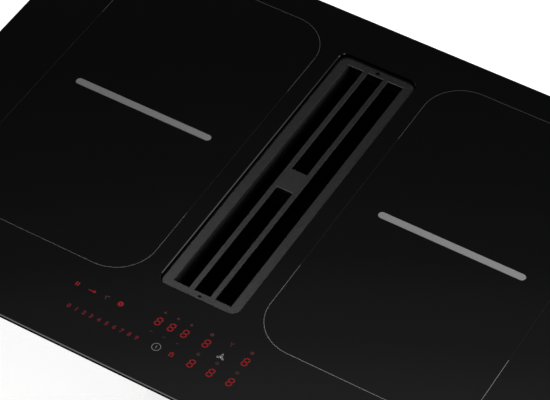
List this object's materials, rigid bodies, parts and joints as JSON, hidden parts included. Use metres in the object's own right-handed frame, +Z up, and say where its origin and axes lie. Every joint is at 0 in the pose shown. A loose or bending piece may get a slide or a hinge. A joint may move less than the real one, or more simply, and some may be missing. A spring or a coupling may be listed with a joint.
{
  "type": "downdraft induction cooktop",
  "caption": "Black glass induction hob with a downdraft extractor: a recessed cast inlet grille in the middle, a bridge zone on each side, a lit touch panel and a blower box beneath.",
  "frame": {"origin": "middle of the footprint at the lowest face, the underside of the airbox", "axes": "+X to the cook's right, +Y to the back of the worktop, +Z up out of the glass"},
  "size_m": [0.72, 0.515, 0.21],
  "materials": {
    "black_glass": "polished black glass ceramic",
    "foam_seal": "closed-cell foam tape",
    "silicone": "cured sealant bead",
    "cast_black": "fine matte black enamel",
    "rubber_foot": "moulded soft rubber",
    "filter_metal": "black anodised sheet",
    "mesh_metal": "black anodised expanded metal",
    "black_plastic": "moulded, light texture",
    "grey_plastic": "moulded, light texture",
    "gasket": "extruded rubber",
    "galvanised": "galvanised sheet",
    "plated_steel": "zinc plated",
    "spring_steel": "bare spring strip",
    "aluminium_sheet": "mill finish",
    "copper": "enamelled copper wire",
    "former_plastic": "glass-filled moulding",
    "ferrite": "sintered, unglazed",
    "mica": "pressed mica paper",
    "circuit_board": "solder resist",
    "lamination": "stacked laminations",
    "white_plastic": "moulded"
  },
  "bodies": {
    "root": {"glass_top": "black_glass", "rim_seal": "foam_seal", "glass_bond": "silicone", "inlet_shaft": "black_plastic", "shaft_seals": "gasket", "airbox_body": "black_plastic", "airbox_cover": "black_plastic", "scroll_wall": "grey_plastic", "scroll_cover": "grey_plastic", "inlet_ring": "grey_plastic", "inlet_guard": "black_plastic", "motor_stator": "lamination", "motor_windings": "copper", "motor_bearings": "spring_steel", "motor_plate": "galvanised", "motor_dampers": "rubber_foot", "outlet_collar": "grey_plastic", "base_pan": "galvanised", "coil_formers": "former_plastic", "ferrite_bars": "ferrite", "mica_sheets": "mica", "coil_plates": "aluminium_sheet", "carrier_springs": "spring_steel", "coil_leads": "silicone", "power_board_left": "circuit_board", "power_board_right": "circuit_board", "heatsinks": "aluminium_sheet", "filter_board": "circuit_board", "fan_frames": "black_plastic", "touch_holder": "white_plastic", "touch_board": "circuit_board", "terminal_block": "grey_plastic", "terminal_posts": "plated_steel", "cable_gland": "black_plastic", "clamp_screws": "plated_steel", "case_screws": "plated_steel", "board_screws": "plated_steel", "coil_winding_front_left": "copper", "coil_winding_front_right": "copper", "coil_winding_rear_left": "copper", "coil_winding_rear_right": "copper"},
    "drip_tray": {"drip_tray": "black_plastic"},
    "filter": {"filter_frame": "filter_metal", "filter_mesh": "mesh_metal"},
    "grille": {"inlet_grille": "cast_black", "grille_feet": "rubber_foot"},
    "blower": {"impeller_hub": "black_plastic", "impeller_blades": "black_plastic", "impeller_ring": "black_plastic", "motor_rotor": "plated_steel"},
    "fan_left": {"fan_rotor_left": "black_plastic"},
    "fan_right": {"fan_rotor_right": "black_plastic"},
    "flap_upper": {"outlet_flap_upper": "black_plastic"},
    "flap_lower": {"outlet_flap_lower": "black_plastic"},
    "terminal_lid": {"terminal_lid": "grey_plastic"},
    "drain_cap": {"drain_cap": "grey_plastic"},
    "clamp_front_left": {"mounting_clamp_front_left": "galvanised"},
    "clamp_front_right": {"mounting_clamp_front_right": "galvanised"},
    "clamp_rear_left": {"mounting_clamp_rear_left": "galvanised"},
    "clamp_rear_right": {"mounting_clamp_rear_right": "galvanised"}
  },
  "joints": [
    {"name": "tray_lift", "type": "slide", "parent": "root", "child": "drip_tray", "axis": [0, 0, 1], "range_m": [0, 0.21]},
    {"name": "filter_lift", "type": "slide", "parent": "drip_tray", "child": "filter", "axis": [0, 0, 1], "range_m": [0, 0.145]},
    {"name": "grille_lift", "type": "slide", "parent": "filter", "child": "grille", "axis": [0, 0, 1], "range_m": [0, 0.06]},
    {"name": "blower_spin", "type": "hinge", "parent": "root", "child": "blower", "pos_m": [0.195, 0, 0.031], "axis": [0, 0, 1], "continuous": true},
    {"name": "fan_left_spin", "type": "hinge", "parent": "root", "child": "fan_left", "pos_m": [-0.1744, 0.168, 0.17], "axis": [0, 0, 1], "continuous": true},
    {"name": "fan_right_spin", "type": "hinge", "parent": "root", "child": "fan_right", "pos_m": [0.1744, 0.168, 0.17], "axis": [0, 0, 1], "continuous": true},
    {"name": "flap_upper_swing", "type": "hinge", "parent": "root", "child": "flap_upper", "pos_m": [0.205, 0.223, 0.0871], "axis": [1, 0, 0], "range_deg": [0, 75]},
    {"name": "flap_lower_swing", "type": "hinge", "parent": "root", "child": "flap_lower", "pos_m": [0.205, 0.223, 0.0451], "axis": [1, 0, 0], "range_deg": [0, 75]},
    {"name": "terminal_lid_swing", "type": "hinge", "parent": "root", "child": "terminal_lid", "pos_m": [-0.268, 0.152, 0.15087], "axis": [-1, 0, 0], "range_deg": [0, 85]},
    {"name": "drain_cap_turn", "type": "hinge", "parent": "root", "child": "drain_cap", "pos_m": [0.07, -0.105, 0.006], "axis": [0, 0, 1], "range_deg": [0, 90]},
    {"name": "clamp_front_left_swing", "type": "hinge", "parent": "root", "child": "clamp_front_left", "pos_m": [-0.339, -0.15, 0.145], "axis": [0, 0, 1], "range_deg": [0, 90]},
    {"name": "clamp_front_right_swing", "type": "hinge", "parent": "root", "child": "clamp_front_right", "pos_m": [0.339, -0.15, 0.145], "axis": [0, 0, -1], "range_deg": [0, 90]},
    {"name": "clamp_rear_left_swing", "type": "hinge", "parent": "root", "child": "clamp_rear_left", "pos_m": [-0.339, 0.15, 0.145], "axis": [0, 0, -1], "range_deg": [0, 90]},
    {"name": "clamp_rear_right_swing", "type": "hinge", "parent": "root", "child": "clamp_rear_right", "pos_m": [0.339, 0.15, 0.145], "axis": [0, 0, 1], "range_deg": [0, 90]}
  ]
}
